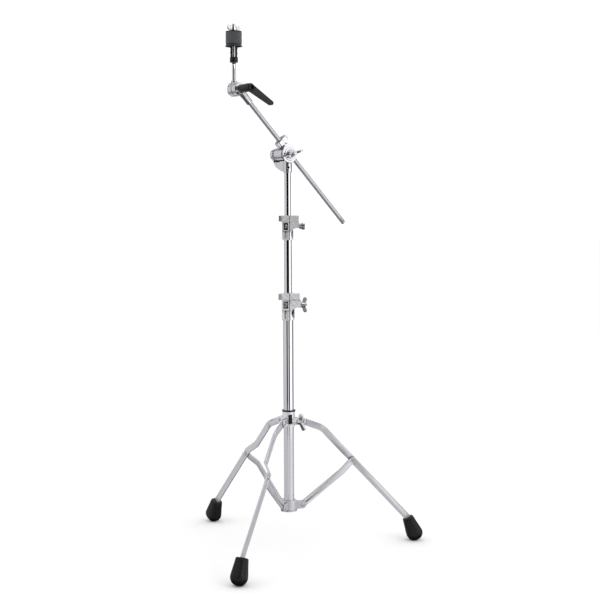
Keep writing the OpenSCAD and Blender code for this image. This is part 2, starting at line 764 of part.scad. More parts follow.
// The holder that turns beside the arm's end and carries the rod
module rod_holder() {
    color(cast) difference() {
        union() {
            rod_tilt_axis() {
                translate([0, 0, rod_a - holder_w / 2]) cylinder(h = 4.1, r1 = 13, r2 = 16.5);
                translate([0, 0, rod_a - holder_w / 2 + 4])
                    cylinder(h = holder_w - 4 + 0.9, r = 16.5);
            }
            rod_axis() translate([0, 0, 8]) cylinder(h = 12.5, r = 7.4);
        }
        rod_tilt_axis() translate([0, 0, -60]) cylinder(h = 60, r = m8_r + run);
        rod_axis() translate([0, 0, 6]) cylinder(h = 30, r = rod_od / 2 + fixed);
        rod_axis() translate([0, 0, 10.5]) {
            x_rod(-30, 0, 2.5 + fixed);
            x_rod(-30, -9.5, 5);
        }
    }
}

module rod_holder_screw() {
    color(steel) rod_axis() translate([0, 0, 10.5]) {
        x_rod(-12, -rod_od / 2 - 0.1, 2.5);
        x_rod(-13.2, -9.6, 4.2);
    }
}

module cymbal_rod() {
    color(steel) rod_axis() {
        translate([0, 0, 6.1]) cylinder(h = thread_start - 7.1, r = rod_od / 2);
        translate([0, 0, thread_start - 1.1]) cylinder(h = 1, r1 = rod_od / 2, r2 = m8_r);
        translate([0, 0, thread_start - 0.2]) cylinder(h = rod_height - thread_start - 1, r = m8_r);
        translate([0, 0, rod_height - 1.3]) cylinder(h = 1.3, r1 = m8_r, r2 = m8_r - 1);
    }
}

// The nut under the cymbal: a threaded ring, two posts that stand clear of the rod,
// with finger grips on their outsides, and a ring that bears on the cup washer
module seat_wing_nut() {
    nut_top = cup_top - thread_start - 1.7;
    ring_r = 9.5;
    color(nylon) rod_axis() translate([0, 0, thread_start + 0.1]) difference() {
        union() {
            cylinder(h = 12, r = ring_r);
            translate([0, 0, nut_top - 2.6]) cylinder(h = 2.6, r = ring_r);
            for (turn = [20, 200]) rotate([0, 0, turn]) {
                translate([7, -1.6, 6]) cube([2.4, 3.2, nut_top - 7]);
                translate([8.6, -2.2, 2]) cube([2.2, 4.4, 34]);
                translate([10.2, 0, 34]) rotate([90, 0, 0])
                    cylinder(h = 4.4, r = 2.2, center = true);
                translate([10.4, 0, 22]) rotate([90, 0, 0])
                    cylinder(h = 4.4, r = 1.8, center = true);
            }
        }
        translate([0, 0, -over]) cylinder(h = 60, r = m8_r + run);
    }
}

// The cupped washer under the felts: a plate with a skirt that flares downwards
module cup_washer() {
    color(nylon) rod_axis() translate([0, 0, cup_top]) difference() {
        union() {
            translate([0, 0, -2]) cylinder(h = 2, r = 18);
            translate([0, 0, -5.6]) cylinder(h = 4.6, r1 = 21, r2 = 17.6);
        }
        translate([0, 0, -6.6]) cylinder(h = 5.1, r1 = 20.2, r2 = 16);
        translate([0, 0, -10]) cylinder(h = 12, r = m8_r + 0.15);
    }
}

module cymbal_sleeve() {
    color(nylon) rod_axis() translate([0, 0, cup_top + felt_gap])
        ring(5.6, m8_r + 0.15, 2 * felt_t + felt_gap);
}

module felt_washer(level) {
    color(felt) rod_axis() translate([0, 0, cup_top + felt_gap + level * (felt_t + felt_gap)])
        ring(felt_od / 2, 5.75, felt_t);
}

module lower_felt() { felt_washer(0); }
module upper_felt() { felt_washer(1); }

module top_washer() {
    color(nylon) rod_axis() translate([0, 0, washer_bottom])
        ring(felt_od / 2, m8_r + 0.15, washer_t);
}

module top_wing_nut() {
    color(steel) rod_axis() translate([0, 0, top_nut_bottom]) rotate([0, 0, 10])
        wing_nut(7.5, 12, 19.3, 14, 5.6, 4.5, m8_r + run);
}

// ---------- ratchet lever of the rod tilter ----------

lever_base = boom_a + holder_w / 2 + 0.3;
lever_hub_h = 44;
insert_r = 6.6;
shoulder = 18.5;

module lever_insert() {
    color(steel) rod_tilt_axis() translate([0, 0, lever_base]) difference() {
        union() {
            cylinder(h = 3, r = 8);
            translate([0, 0, 2.9]) cylinder(h = 14.6, r = insert_r);
        }
        translate([0, 0, -over]) cylinder(h = 14.5, r = m8_r + fixed);
        cylinder(h = 30, r = 2.5 + fixed);
    }
}

module lever_screw() {
    color(steel) rod_tilt_axis() translate([0, 0, lever_base]) {
        translate([0, 0, 14]) cylinder(h = 18, r = 2.5);
        translate([0, 0, 31.5]) difference() {
            cylinder(h = 4, r = 4.6);
            translate([0, 0, 2]) cylinder(h = 3, r = 2, $fn = 6);
        }
    }
}

// The spring under the screw's head: a stack of coils that the lift can't reach
module lever_spring() {
    wire = 0.55;
    color(steel) rod_tilt_axis() translate([0, 0, lever_base + 25.4])
        for (coil = [0:3]) translate([0, 0, coil * 1.6]) rotate_extrude()
            translate([3.7, 0]) circle(r = wire, $fn = 16);
}

// The moulded lever: a hub that lifts off the insert to be reset, and a long handle
module tilter_lever() {
    handle = 72;
    handle_fall = -30;
    root_w = 17;
    tip_r = 5.2;
    color(nylon) rod_tilt_axis() translate([0, 0, lever_base]) difference() {
        union() {
            translate([0, 0, 3.1]) cylinder(h = 24, r1 = 9, r2 = 10);
            translate([0, 0, 27]) cylinder(h = lever_hub_h - 30, r1 = 10, r2 = 9.2);
            translate([0, 0, lever_hub_h - 3.1]) cylinder(h = 3.1, r1 = 9.2, r2 = 6.8);
            rotate([0, 0, handle_fall]) {
                translate([0, 0, 30]) linear_extrude(height = 11)
                    polygon([[0, -root_w / 2], [handle - tip_r, -tip_r], [handle - tip_r, tip_r],
                        [0, root_w / 2]]);
                translate([handle - tip_r, 0, 30]) cylinder(h = 11, r = tip_r);
            }
        }
        translate([0, 0, -over]) cylinder(h = shoulder + over, r = insert_r + 0.1);
        cylinder(h = 30, r = 2.7);
        translate([0, 0, shoulder + 2]) cylinder(h = 30, r = 5.2);
    }
}

lower_tube();
base_bracket();
bracket_rivets();
lower_clamp();
lower_clamp_bushing();
lower_clamp_bolt();
lower_wing_nut();
brace_right();
brace_left();
brace_front();
leg_right();
leg_left();
leg_front();
knee_rivet_right();
knee_rivet_left();
knee_rivet_front();
foot_right();
foot_left();
foot_front();
leg_collar();
collar_bushing();
collar_rivets();
collar_wing_bolt();
middle_tube();
lower_lock_ring();
lower_lock_screw();
upper_clamp();
upper_clamp_bushing();
upper_clamp_bolt();
upper_wing_nut();
upper_lock_ring();
upper_lock_screw();
upper_tube();
tilter_base();
tilter_base_screw();
tilter_bolt();
tilter_front_disc();
tilter_wing_nut();
boom_clamp();
boom_lock_ring();
boom_lock_screw();
boom_arm();
boom_end_plug();
boom_end_holder();
holder_screws();
rod_tilter_bolt();
rod_holder();
rod_holder_screw();
cymbal_rod();
seat_wing_nut();
cup_washer();
cymbal_sleeve();
lower_felt();
upper_felt();
top_washer();
top_wing_nut();
lever_insert();
lever_screw();
lever_spring();
tilter_lever();
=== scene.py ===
"""Looks for the cymbal boom stand: chrome tubes and castings, black nylon and rubber, felt."""

import json
import math

import bmesh
import bpy
from mathutils import Matrix, Vector, noise

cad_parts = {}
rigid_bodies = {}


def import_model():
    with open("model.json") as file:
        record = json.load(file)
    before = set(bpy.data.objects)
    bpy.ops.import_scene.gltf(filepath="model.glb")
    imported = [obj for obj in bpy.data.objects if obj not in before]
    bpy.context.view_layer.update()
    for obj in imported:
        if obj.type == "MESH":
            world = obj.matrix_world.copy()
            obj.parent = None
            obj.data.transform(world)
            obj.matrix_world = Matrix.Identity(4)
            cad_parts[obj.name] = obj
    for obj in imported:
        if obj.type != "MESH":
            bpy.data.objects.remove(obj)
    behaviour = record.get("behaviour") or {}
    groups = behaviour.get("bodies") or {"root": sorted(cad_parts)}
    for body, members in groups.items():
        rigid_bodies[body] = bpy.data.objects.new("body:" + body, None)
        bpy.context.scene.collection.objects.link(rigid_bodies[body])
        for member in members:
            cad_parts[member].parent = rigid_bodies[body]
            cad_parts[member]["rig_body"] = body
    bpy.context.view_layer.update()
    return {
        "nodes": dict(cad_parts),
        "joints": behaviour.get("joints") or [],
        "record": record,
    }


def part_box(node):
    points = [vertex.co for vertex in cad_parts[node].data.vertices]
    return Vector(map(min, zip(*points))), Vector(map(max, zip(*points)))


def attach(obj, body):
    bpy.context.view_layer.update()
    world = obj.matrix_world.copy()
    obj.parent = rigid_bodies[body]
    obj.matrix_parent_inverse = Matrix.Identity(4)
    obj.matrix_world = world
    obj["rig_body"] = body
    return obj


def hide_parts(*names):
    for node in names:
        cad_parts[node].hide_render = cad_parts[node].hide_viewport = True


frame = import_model()
NODES = frame["nodes"]
JOINTS = {joint["name"]: joint for joint in frame["joints"]}
MM = 0.001
TAU = 2 * math.pi


# ---------- places, worked out from the frame ----------

def joint_axis(name):
    return Vector(JOINTS[name]["axis"]).normalized()


def joint_point(name):
    return Vector(JOINTS[name]["pos_m"])


def basis(origin, along, side_hint):
    """A frame at origin whose Z runs along an axis and whose X leans towards a hint."""
    z = along.normalized()
    x = (side_hint - side_hint.dot(z) * z).normalized()
    y = z.cross(x)
    turn = Matrix((x, y, z)).transposed().to_4x4()
    return Matrix.Translation(origin) @ turn


UP = Vector((0, 0, 1))
BOOM = joint_axis("boom_twist")


# ---------- node material helpers ----------

def new_material(name):
    material = bpy.data.materials.new(name)
    material.use_nodes = True
    nodes = material.node_tree.nodes
    shader = nodes["Principled BSDF"]
    return material, nodes, material.node_tree.links, shader


def noise_node(nodes, links, coordinates, scale, detail=4.0, stretch=None):
    """A noise texture in object space, in cycles per metre, stretched if asked."""
    texture = nodes.new("ShaderNodeTexNoise")
    texture.inputs["Scale"].default_value = scale
    texture.inputs["Detail"].default_value = detail
    source = coordinates.outputs["Object"]
    if stretch:
        mapping = nodes.new("ShaderNodeMapping")
        mapping.inputs["Scale"].default_value = stretch
        links.new(source, mapping.inputs["Vector"])
        source = mapping.outputs["Vector"]
    links.new(source, texture.inputs["Vector"])
    return texture


def ramp_node(nodes, links, source, stops):
    ramp = nodes.new("ShaderNodeValToRGB")
    elements = ramp.color_ramp.elements
    while len(elements) < len(stops):
        elements.new(0.5)
    for element, (place, value) in zip(elements, stops):
        element.position = place
        colour = value if isinstance(value, tuple) else (value, value, value)
        element.color = (*colour, 1)
    links.new(source, ramp.inputs["Fac"])
    return ramp


def bump_node(nodes, links, height, strength, distance, shader, before=None):
    bump = nodes.new("ShaderNodeBump")
    bump.inputs["Strength"].default_value = strength
    bump.inputs["Distance"].default_value = distance
    links.new(height, bump.inputs["Height"])
    if before:
        links.new(before.outputs["Normal"], bump.inputs["Normal"])
    links.new(bump.outputs["Normal"], shader.inputs["Normal"])
    return bump


# ---------- materials ----------

def metal(name, tint, rough_low, rough_high, ripple, scratch=0.04, stretch=None,
          mirror=1.0, crevice_shade_reach=0.0, mottle=0.93):
    """Plated metal: cloudy roughness, fine scratches, a ripple from the casting or
    rolling under the plate, and a darker tone, mottle times the tint, in scattered
    marks. The mirror share is low on satin plate, and painted shade, an ambient-occlusion
    darkening of the colour, fills hollows and gaps between parts up to the given reach in metres.
    Stretch sets the way the scratches run."""
    material, nodes, links, shader = new_material(name)
    shader.inputs["Metallic"].default_value = mirror
    place = nodes.new("ShaderNodeTexCoord")
    cloud = noise_node(nodes, links, place, 90)
    rough = ramp_node(nodes, links, cloud.outputs["Fac"], [(0.35, rough_low), (0.7, rough_high)])
    links.new(rough.outputs["Color"], shader.inputs["Roughness"])
    marks = noise_node(nodes, links, place, 260, 5.0)
    dull = tuple(mottle * value for value in tint)
    tone = ramp_node(nodes, links, marks.outputs["Fac"], [(0.3, dull), (0.5, tint)])
    # Painted shade: ambient occlusion darkens the base colour in hollows and between parts.
    if crevice_shade_reach:
        tone = painted_crevice_shade(nodes, links, tone, crevice_shade_reach)
    links.new(tone.outputs[0], shader.inputs["Base Color"])
    lines = noise_node(nodes, links, place, 1500, 2.0, stretch or (1, 1, 0.06))
    fine = bump_node(nodes, links, lines.outputs["Fac"], scratch, 0.0001, shader)
    waves = noise_node(nodes, links, place, 160, 2.0)
    bump_node(nodes, links, waves.outputs["Fac"], ripple, 0.0006, shader, fine)
    return material


def painted_crevice_shade(nodes, links, tone, reach):
    """Paints shade into a colour: darkens it by ambient occlusion where other surfaces stand close
    by.
    """
    open_air = nodes.new("ShaderNodeAmbientOcclusion")
    open_air.samples = 6
    open_air.inputs["Distance"].default_value = reach
    shade = ramp_node(nodes, links, open_air.outputs["AO"],
                      [(0.30, 0.02), (0.62, 0.45), (0.88, 1.0)])
    mixed = nodes.new("ShaderNodeVectorMath")
    mixed.operation = "MULTIPLY"
    links.new(tone.outputs[0], mixed.inputs[0])
    links.new(shade.outputs["Color"], mixed.inputs[1])
    return mixed


def moulded(name, colour, rough, grain):
    """Black moulding: a fine spark-eroded grain and slightly greyed high spots."""
    material, nodes, links, shader = new_material(name)
    shader.inputs["Specular IOR Level"].default_value = 0.36
    place = nodes.new("ShaderNodeTexCoord")
    cloud = noise_node(nodes, links, place, 120, 5.0)
    light = tuple(1.5 * value for value in colour)
    tone = ramp_node(nodes, links, cloud.outputs["Fac"], [(0.35, colour), (0.75, light)])
    links.new(tone.outputs["Color"], shader.inputs["Base Color"])
    gloss = ramp_node(nodes, links, cloud.outputs["Fac"],
                      [(0.3, rough - 0.06), (0.7, rough + 0.08)])
    links.new(gloss.outputs["Color"], shader.inputs["Roughness"])
    speck = noise_node(nodes, links, place, 2600, 3.0)
    bump_node(nodes, links, speck.outputs["Fac"], grain, 0.0002, shader)
    return material


def felt_material():
    """Pressed wool: mottled fibres in two greys, with a soft sheen and a deep bump."""
    material, nodes, links, shader = new_material("pressed_felt")
    place = nodes.new("ShaderNodeTexCoord")
    fibres = noise_node(nodes, links, place, 1300, 10.0, (1, 1, 1.7))
    layers = noise_node(nodes, links, place, 240, 3.0, (0.2, 0.2, 4))
    mixed = nodes.new("ShaderNodeMath")
    mixed.operation = "MULTIPLY_ADD"
    mixed.inputs[1].default_value = 0.35
    links.new(layers.outputs["Fac"], mixed.inputs[0])
    links.new(fibres.outputs["Fac"], mixed.inputs[2])
    tone = ramp_node(nodes, links, mixed.outputs["Value"],
                     [(0.45, (0.014, 0.015, 0.017)), (0.66, (0.038, 0.040, 0.045)),
                      (0.85, (0.082, 0.086, 0.094))])
    links.new(tone.outputs["Color"], shader.inputs["Base Color"])
    shader.inputs["Roughness"].default_value = 0.95
    shader.inputs["Sheen Weight"].default_value = 0.25
    shader.inputs["Sheen Roughness"].default_value = 0.6
    bump_node(nodes, links, mixed.outputs["Value"], 0.8, 0.0009, shader)
    return material


# Painted shade: on the metals below, ambient occlusion darkens the base colour in hollows and
# between parts, as far as the given reach in metres.
MATERIALS = {
    "tube_chrome": metal("tube_chrome", (0.86, 0.86, 0.88), 0.03, 0.06, 0.01, 0.02),
    "strap_chrome": metal("strap_chrome", (0.70, 0.69, 0.725), 0.34, 0.46, 0.04, 0.10,
                          (0.06, 1, 1), mirror=0.62, crevice_shade_reach=0.004),
    "cast_chrome": metal("cast_chrome", (0.88, 0.87, 0.90), 0.16, 0.28, 0.6,
                         mirror=0.54, crevice_shade_reach=0.006, mottle=0.74),
    "cast_polished": metal("cast_polished", (0.84, 0.83, 0.86), 0.07, 0.15, 0.28,
                           mirror=0.93, crevice_shade_reach=0.007, mottle=0.8),
    "arm_satin": metal("arm_satin", (0.62, 0.61, 0.645), 0.30, 0.42, 0.03, 0.06,
                       mirror=0.75, crevice_shade_reach=0.003),
    "fastener_steel": metal("fastener_steel", (0.66, 0.66, 0.68), 0.14, 0.26, 0.05,
                            mirror=0.85, crevice_shade_reach=0.003),
    "black_steel": moulded("black_steel", (0.010, 0.010, 0.011), 0.26, 0.03),
    "black_nylon": moulded("black_nylon", (0.007, 0.007, 0.008), 0.36, 0.12),
    "rubber": moulded("foot_rubber", (0.0045, 0.0045, 0.005), 0.42, 0.25),
    "felt": felt_material(),
}
# The record's material slot of each node
SLOT_OF = {part["node"]: part["material_slot"] for part in frame["record"]["subparts"]}


def paint(piece, finish):
    piece.data.materials.clear()
    piece.data.materials.append(MATERIALS[finish])


# ---------- mesh helpers ----------

def smooth_shading(mesh, angle=None):
    mesh.polygons.foreach_set("use_smooth", [True] * len(mesh.polygons))
    if angle:
        mesh.set_sharp_from_angle(angle=math.radians(angle))


def bake(piece):
    """Turns a piece's modifiers into its mesh."""
    graph = bpy.context.evaluated_depsgraph_get()
    mesh = bpy.data.meshes.new_from_object(piece.evaluated_get(graph))
    piece.modifiers.clear()
    piece.data = mesh
    return mesh


def new_piece(name, mesh, body, slot, *nodes):
    """A finished piece, on its body, in its material, standing for its CAD nodes."""
    piece = bpy.data.objects.new(name, mesh)
    bpy.context.scene.collection.objects.link(piece)
    paint(piece, slot)
    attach(piece, body)
    if nodes:
        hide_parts(*nodes)
    return piece


def body_of(node):
    return NODES[node]["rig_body"]


def grid_mesh(name, rows):
    """A mesh from rings of points: every ring is joined to the next, ends capped."""
    mesh = bpy.data.meshes.new(name)
    size = len(rows[0])
    points = [point for row in rows for point in row]
    faces = []
    for i in range(len(rows) - 1):
        for j in range(size):
            k = (j + 1) % size
            faces.append((i * size + j, i * size + k, (i + 1) * size + k, (i + 1) * size + j))
    faces.append(tuple(reversed(range(size))))
    faces.append(tuple((len(rows) - 1) * size + j for j in range(size)))
    mesh.from_pydata(points, [], faces)
    mesh.update()
    return mesh


def tube_loop_mesh(name, rows):
    """A closed ring of section rows, joined all the way round both ways."""
    mesh = bpy.data.meshes.new(name)
    size, count = len(rows[0]), len(rows)
    points = [point for row in rows for point in row]
    faces = [(i * size + j, i * size + (j + 1) % size,
              ((i + 1) % count) * size + (j + 1) % size, ((i + 1) % count) * size + j)
             for i in range(count) for j in range(size)]
    mesh.from_pydata(points, [], faces)
    mesh.update()
    return mesh


# ---------- cast and moulded parts: the CAD solid with its edges rounded ----------

def rounded_copy(node, voxel, passes):
    """A casting made from a CAD node: remeshed evenly, then its edges are relaxed."""
    source = NODES[node]
    mesh = source.data.copy()
    work = bmesh.new()
    work.from_mesh(mesh)
    bmesh.ops.remove_doubles(work, verts=work.verts, dist=1e-6)
    work.to_mesh(mesh)
    work.free()
    piece = bpy.data.objects.new(node + "_shape", mesh)
    bpy.context.scene.collection.objects.link(piece)
    remesh = piece.modifiers.new("even", "REMESH")
    remesh.mode = "VOXEL"
    remesh.voxel_size = voxel * MM
    relax = piece.modifiers.new("relax", "SMOOTH")
    relax.factor = 0.5
    relax.iterations = passes
    mesh = bake(piece)
    bpy.data.objects.remove(piece)
    smooth_shading(mesh)
    piece = new_piece(node + "_shape", mesh, body_of(node), SLOT_OF[node], node)
    if node in POLISHED:
        paint(piece, "cast_polished")


# Castings with a brighter polish than the clamps and the collar
POLISHED = ("boom_end_holder", "rod_holder", "tilter_base", "tilter_front_disc",
            "boom_clamp", "boom_lock_ring", "lower_wing_nut", "upper_wing_nut",
            "tilter_wing_nut", "top_wing_nut", "collar_wing_bolt")
# Each casting's voxel size in mm, and how many times its edges are relaxed
CASTINGS = {
    "lower_clamp": (0.5, 3), "upper_clamp": (0.5, 3),
    "lower_lock_ring": (0.45, 3), "upper_lock_ring": (0.45, 3),
    "leg_collar": (0.5, 3), "base_bracket": (0.5, 3),
    "tilter_base": (0.5, 4), "boom_clamp": (0.5, 3),
    "boom_lock_ring": (0.4, 3), "boom_end_holder": (0.45, 4),
    "rod_holder": (0.45, 4), "tilter_front_disc": (0.35, 2),
    "lower_wing_nut": (0.35, 5), "upper_wing_nut": (0.35, 5),
    "tilter_wing_nut": (0.38, 5), "top_wing_nut": (0.35, 5),
    "collar_wing_bolt": (0.38, 5), "lower_lock_screw": (0.35, 3),
    "upper_lock_screw": (0.35, 3), "boom_lock_screw": (0.3, 3),
    "tilter_lever": (0.5, 8), "seat_wing_nut": (0.35, 4),
}


# ---------- boom arm: a knurled tube with plain ends ----------

KNURL_CREASE, CREASE = 50, 60  # degrees between faces from which an edge stays sharp


def boom_arm():
    """The arm's middle is a diamond knurl: two families of helical grooves."""
    place = basis(joint_point("boom_twist"), BOOM, UP)
    to_local = place.inverted()
    ends = [(to_local @ v.co) for v in NODES["boom_arm"].data.vertices]
    z0 = min(v.z for v in ends)
    z1 = max(v.z for v in ends)
    radius = max(math.hypot(v.x, v.y) for v in ends)
    wall, chamfer, run_out = 1.8 * MM, 0.3 * MM, 0.4 * MM
    bore = radius - wall
    knurl_start, knurl_stop = z0 + 26.5 * MM, 124.5 * MM
    around, pitch, depth, relief = 96, 1.6 * MM, 0.09 * MM, 0.03 * MM
    ridges, rows_per_pitch = 24, 5
    step = pitch / rows_per_pitch
    rows = []

    def ring(z, r, knurled):
        row = []
        for j in range(around):
            angle = TAU * j / around
            rise = 0.0
            if knurled:
                first = math.cos(ridges * angle + TAU * z / (2 * pitch))
                second = math.cos(ridges * angle - TAU * z / (2 * pitch))
                rise = 0.5 * depth * (min(first, second) - 1)
            row.append((math.cos(angle) * (r + rise), math.sin(angle) * (r + rise), z))
        return row

    rows.append(ring(z0, bore, False))
    rows.append(ring(z0, radius - chamfer, False))
    rows.append(ring(z0 + chamfer, radius, False))
    rows.append(ring(knurl_start - run_out, radius, False))
    count = int((knurl_stop - knurl_start) / step)
    for i in range(count + 1):
        rows.append(ring(knurl_start + i * step, radius - relief, True))
    rows.append(ring(knurl_stop + run_out, radius, False))
    rows.append(ring(z1, radius, False))
    rows.append(ring(z1, bore, False))
    mesh = tube_loop_mesh("boom_arm_knurled", rows)
    mesh.transform(place)
    smooth_shading(mesh, KNURL_CREASE)
    new_piece("boom_arm_knurled", mesh, "boom_arm", "arm_satin", "boom_arm")


# ---------- cymbal rod: a plain rod with a rolled thread ----------

def cymbal_rod():
    """The rod is plain below, and necks down to a thread that ends in a chamfer."""
    low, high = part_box("cymbal_rod")
    centre = (low + high) / 2
    radius = (high.x - low.x) / 2
    thread_r, pitch, depth, relief = 4 * MM, 1.25 * MM, 0.62 * MM, 0.01 * MM
    flank = 0.42  # a thread flank's share of the pitch
    around, per_turn = 40, 8
    thread_z = high.z - 90 * MM
    chamfer, tip = 0.4 * MM, 1.3 * MM
    rows = []

    def ring(z, r, threaded):
        row = []
        for j in range(around):
            angle = TAU * j / around
            cut = 0.0
            if threaded:
                phase = (z / pitch - angle / TAU) % 1.0
                cut = depth * max(0.0, 1 - abs(phase - 0.5) / flank)
            row.append((centre.x + math.cos(angle) * (r - cut),
                        centre.y + math.sin(angle) * (r - cut), z))
        return row

    rows.append(ring(low.z, radius - chamfer, False))
    rows.append(ring(low.z + chamfer, radius, False))
    rows.append(ring(thread_z - 1.2 * MM, radius, False))
    rows.append(ring(thread_z - 0.3 * MM, thread_r, False))
    count = int((high.z - tip - thread_z) / (pitch / per_turn))
    for i in range(count + 1):
        rows.append(ring(thread_z + i * pitch / per_turn, thread_r - relief, True))
    rows.append(ring(high.z - chamfer, thread_r - 1.0 * MM, False))
    rows.append(ring(high.z, thread_r - 1.4 * MM, False))
    mesh = grid_mesh("cymbal_rod_threaded", rows)
    smooth_shading(mesh, CREASE)
    new_piece("cymbal_rod_threaded", mesh, "cymbal_rod", "tube_chrome", "cymbal_rod")


# ---------- felts ----------

WOOL_SCALE, DENT_SCALE = 900, 170  # cycles per metre


def felt_washer(node, seed):
    """A pressed wool disc: soft worn edges, bulging sides and a fibrous surface, pushed
    in and out by noise that fades towards the bore and on the flat faces."""
    low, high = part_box(node)
    centre = (low + high) / 2
    outer, inner = (high.x - low.x) / 2, 5.8 * MM
    height = high.z - low.z
    around, edge, bulge = 240, 1.1 * MM, 0.12 * MM
    edge_rows, side_rows = 6, 14
    section = []
    for i in range(edge_rows + 1):
        turn = math.pi / 2 * i / edge_rows
        section.append((outer - edge + edge * math.sin(turn),
                        height / 2 - edge * (1 - math.cos(turn))))
    for i in range(1, side_rows):
        share = 1 - 2 * i / side_rows
        section.append((outer + bulge * (1 - share * share), (height / 2 - edge) * share))
    for i in range(edge_rows + 1):
        turn = math.pi / 2 * (1 - i / edge_rows)
        section.append((outer - edge + edge * math.sin(turn),
                        -height / 2 + edge * (1 - math.cos(turn))))
    section += [(outer * 0.6, -height / 2), (inner + 0.8 * MM, -height / 2 + 0.1 * MM),
                (inner, -height / 2 + 0.9 * MM), (inner, height / 2 - 0.9 * MM),
                (inner + 0.8 * MM, height / 2 - 0.1 * MM), (outer * 0.6, height / 2)]
    rows = []
    for i in range(around):
        angle = TAU * i / around
        direction = Vector((math.cos(angle), math.sin(angle), 0))
        row = []
        for r, z in section:
            point = direction * r + Vector((0, 0, z))
            wool = noise.noise(point * WOOL_SCALE + Vector((seed, 0, 0)))
            dents = noise.noise(point * DENT_SCALE + Vector((0, seed, 0)))
            share = min(1.0, max(0.0, (r - inner) / (2 * MM)))
            squeeze = 0.35 if abs(z) > height / 2 - 0.5 * MM else 1.0
            push = share * squeeze * (0.20 * wool + 0.22 * dents - 0.10) * MM
            outward = Vector((direction.x, direction.y, 0))
            row.append(centre + point + outward * push)
        rows.append(row)
    mesh = tube_loop_mesh(node + "_wool", rows)
    fix_normals(mesh)
    smooth_shading(mesh)
    new_piece(node + "_wool", mesh, "cymbal_rod", "felt", node)


def fix_normals(mesh):
    work = bmesh.new()
    work.from_mesh(mesh)
    bmesh.ops.recalc_face_normals(work, faces=work.faces)
    work.to_mesh(mesh)
    work.free()


# ---------- rubber feet ----------

FACETS = 3.0  # how square a foot's section is: 2 is round
RIBS, RIB_DEPTH = 24, 0.35  # how many ribs go round a foot, and their depth in mm
RIBBED = 0.6  # the share of a foot's body that is ribbed, from its tread


def foot(side, azimuth):
    """A moulded boot: broad and round where it rests, ribbed low down, with a
    stepped collar round the end of the leg."""
    node = "foot_" + side
    outward = Vector((math.cos(azimuth), math.sin(azimuth), 0))
    sideways = Vector((-math.sin(azimuth), math.cos(azimuth), 0))
    points = [v.co for v in NODES[node].data.vertices]
    top_z = max(p.z for p in points)
    tread_z, neck_depth, lean = 19 * MM, 5 * MM, 5 * MM
    mid = sum(p.dot(sideways) for p in points) / len(points)
    low_r = [p.dot(outward) for p in points if p.z < 22 * MM]
    top_r = [p.dot(outward) for p in points if p.z > top_z - 12 * MM]
    tread = (min(low_r) + max(low_r)) / 2
    neck = (min(top_r) + max(top_r)) / 2
    start = outward * (tread + lean) + sideways * mid + UP * tread_z
    stop = outward * neck + sideways * mid + UP * (top_z - neck_depth)
    place = basis(start, stop - start, outward)
    length = (stop - start).length
    around = 96

    # (height along the axis, radius outward, radius sideways, rib depth), in mm
    profile = []
    ball_rows, body_rows = 10, 22
    for i in range(ball_rows + 1):
        turn = math.pi / 2 * i / ball_rows
        profile.append((-20.0 * math.cos(turn), 20.4 * math.sin(turn), 18.2 * math.sin(turn), 0.0))
    for i in range(1, body_rows + 1):
        share = i / body_rows
        ease = 0.7 * share + 0.3 * share * share * (3 - 2 * share)
        ribs = RIB_DEPTH * max(0.0, math.sin(math.pi * min(1.0, share / RIBBED)))
        profile.append((share * (length / MM - 5), 20.4 - 6.0 * ease, 18.2 - 4.4 * ease, ribs))
    end = length / MM
    profile += [(end - 4.2, 14.0, 13.4, 0.0), (end - 3.9, 13.6, 13.0, 0.0),
                (end - 3.5, 14.0, 13.4, 0.0), (end - 1.6, 13.8, 13.2, 0.0),
                (end - 0.6, 13.2, 12.6, 0.0), (end - 0.1, 12.0, 11.4, 0.0),
                (end, 10.2, 9.7, 0.0), (end - 0.5, 9.6, 5.0, 0.0), (end - 2.5, 9.2, 4.2, 0.0)]
    rows = []
    for z, wide, narrow, rib in profile:
        row = []
        for j in range(around):
            angle = TAU * j / around
            c, s = math.cos(angle), math.sin(angle)
            square = (abs(c) ** FACETS + abs(s) ** FACETS) ** (-1 / FACETS)
            groove = rib * max(0.0, math.cos(RIBS * angle)) ** 4
            point = place @ Vector(((wide * square - groove) * c * MM,
                                    (narrow * square - groove) * s * MM, z * MM))
            point.z = max(point.z, 0.0)
            row.append(point)
        rows.append(row)
    mesh = grid_mesh(node + "_boot", rows)
    fix_normals(mesh)
    smooth_shading(mesh, CREASE)
    new_piece(node + "_boot", mesh, "leg_" + side, "rubber", node)


# ---------- carried-over CAD nodes ----------

# The width in mm of each node's broken edges
BEVELS = {
    "brace_right": 0.55, "brace_left": 0.55, "brace_front": 0.55,
    "leg_right": 0.6, "leg_left": 0.6, "leg_front": 0.6,
    "bracket_rivets": 0.4, "collar_rivets": 0.4, "knee_rivet_right": 0.4,
    "knee_rivet_left": 0.4, "knee_rivet_front": 0.4, "cup_washer": 0.25,
    "top_washer": 0.3, "tilter_bolt": 0.5, "rod_tilter_bolt": 0.5,
    "boom_end_plug": 0.3, "collar_bushing": 0.35, "lower_clamp_bolt": 0.4,
    "upper_clamp_bolt": 0.4, "rod_holder_screw": 0.4,
}


def carry_over(node):
    """The CAD node itself, in its material, with its sharp edges broken if a bevel width is listed
    for it.
    """
    piece = NODES[node]
    paint(piece, SLOT_OF[node])
    smooth_shading(piece.data, 35)
    if node in BEVELS:
        weld = piece.modifiers.new("weld", "WELD")
        weld.merge_threshold = 1e-6
        bevel = piece.modifiers.new("edges", "BEVEL")
        bevel.width = BEVELS[node] * MM
        bevel.segments = 3
        bevel.limit_method = "ANGLE"
        bevel.angle_limit = math.radians(40)
        bevel.harden_normals = True


# ---------- light, floor and camera ----------

